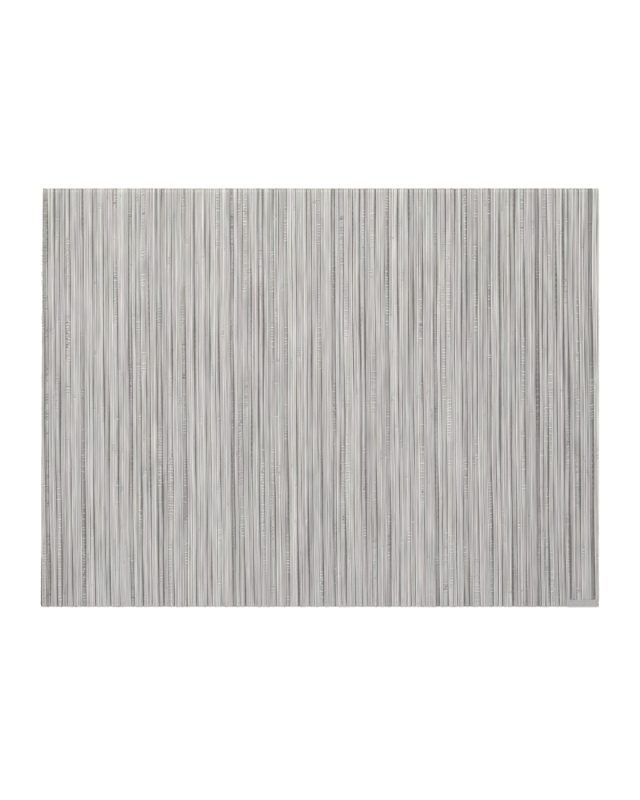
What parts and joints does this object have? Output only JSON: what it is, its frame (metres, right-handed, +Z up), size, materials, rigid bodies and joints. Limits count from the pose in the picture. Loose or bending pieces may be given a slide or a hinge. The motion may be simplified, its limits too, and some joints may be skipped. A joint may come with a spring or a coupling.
{
  "type": "placemat",
  "caption": "Flat rectangular placemat of woven vinyl with uneven ribs across its width, heat-pressed cut ends and a small plain pressed corner patch.",
  "frame": {"origin": "centre of the mat's footprint, on its flat underside", "axes": "+X along the long side, +Y across the mat along its ribs towards the top edge, +Z up out of the table through the ribbed face; the plain corner patch is at +X, -Y"},
  "size_m": [0.48, 0.36, 0.002],
  "materials": {
    "woven_vinyl": "woven extruded vinyl yarns in warm light greys, satin, ribbed across the mat's width"
  },
  "bodies": {
    "root": {"placemat": "woven_vinyl"}
  },
  "joints": []
}
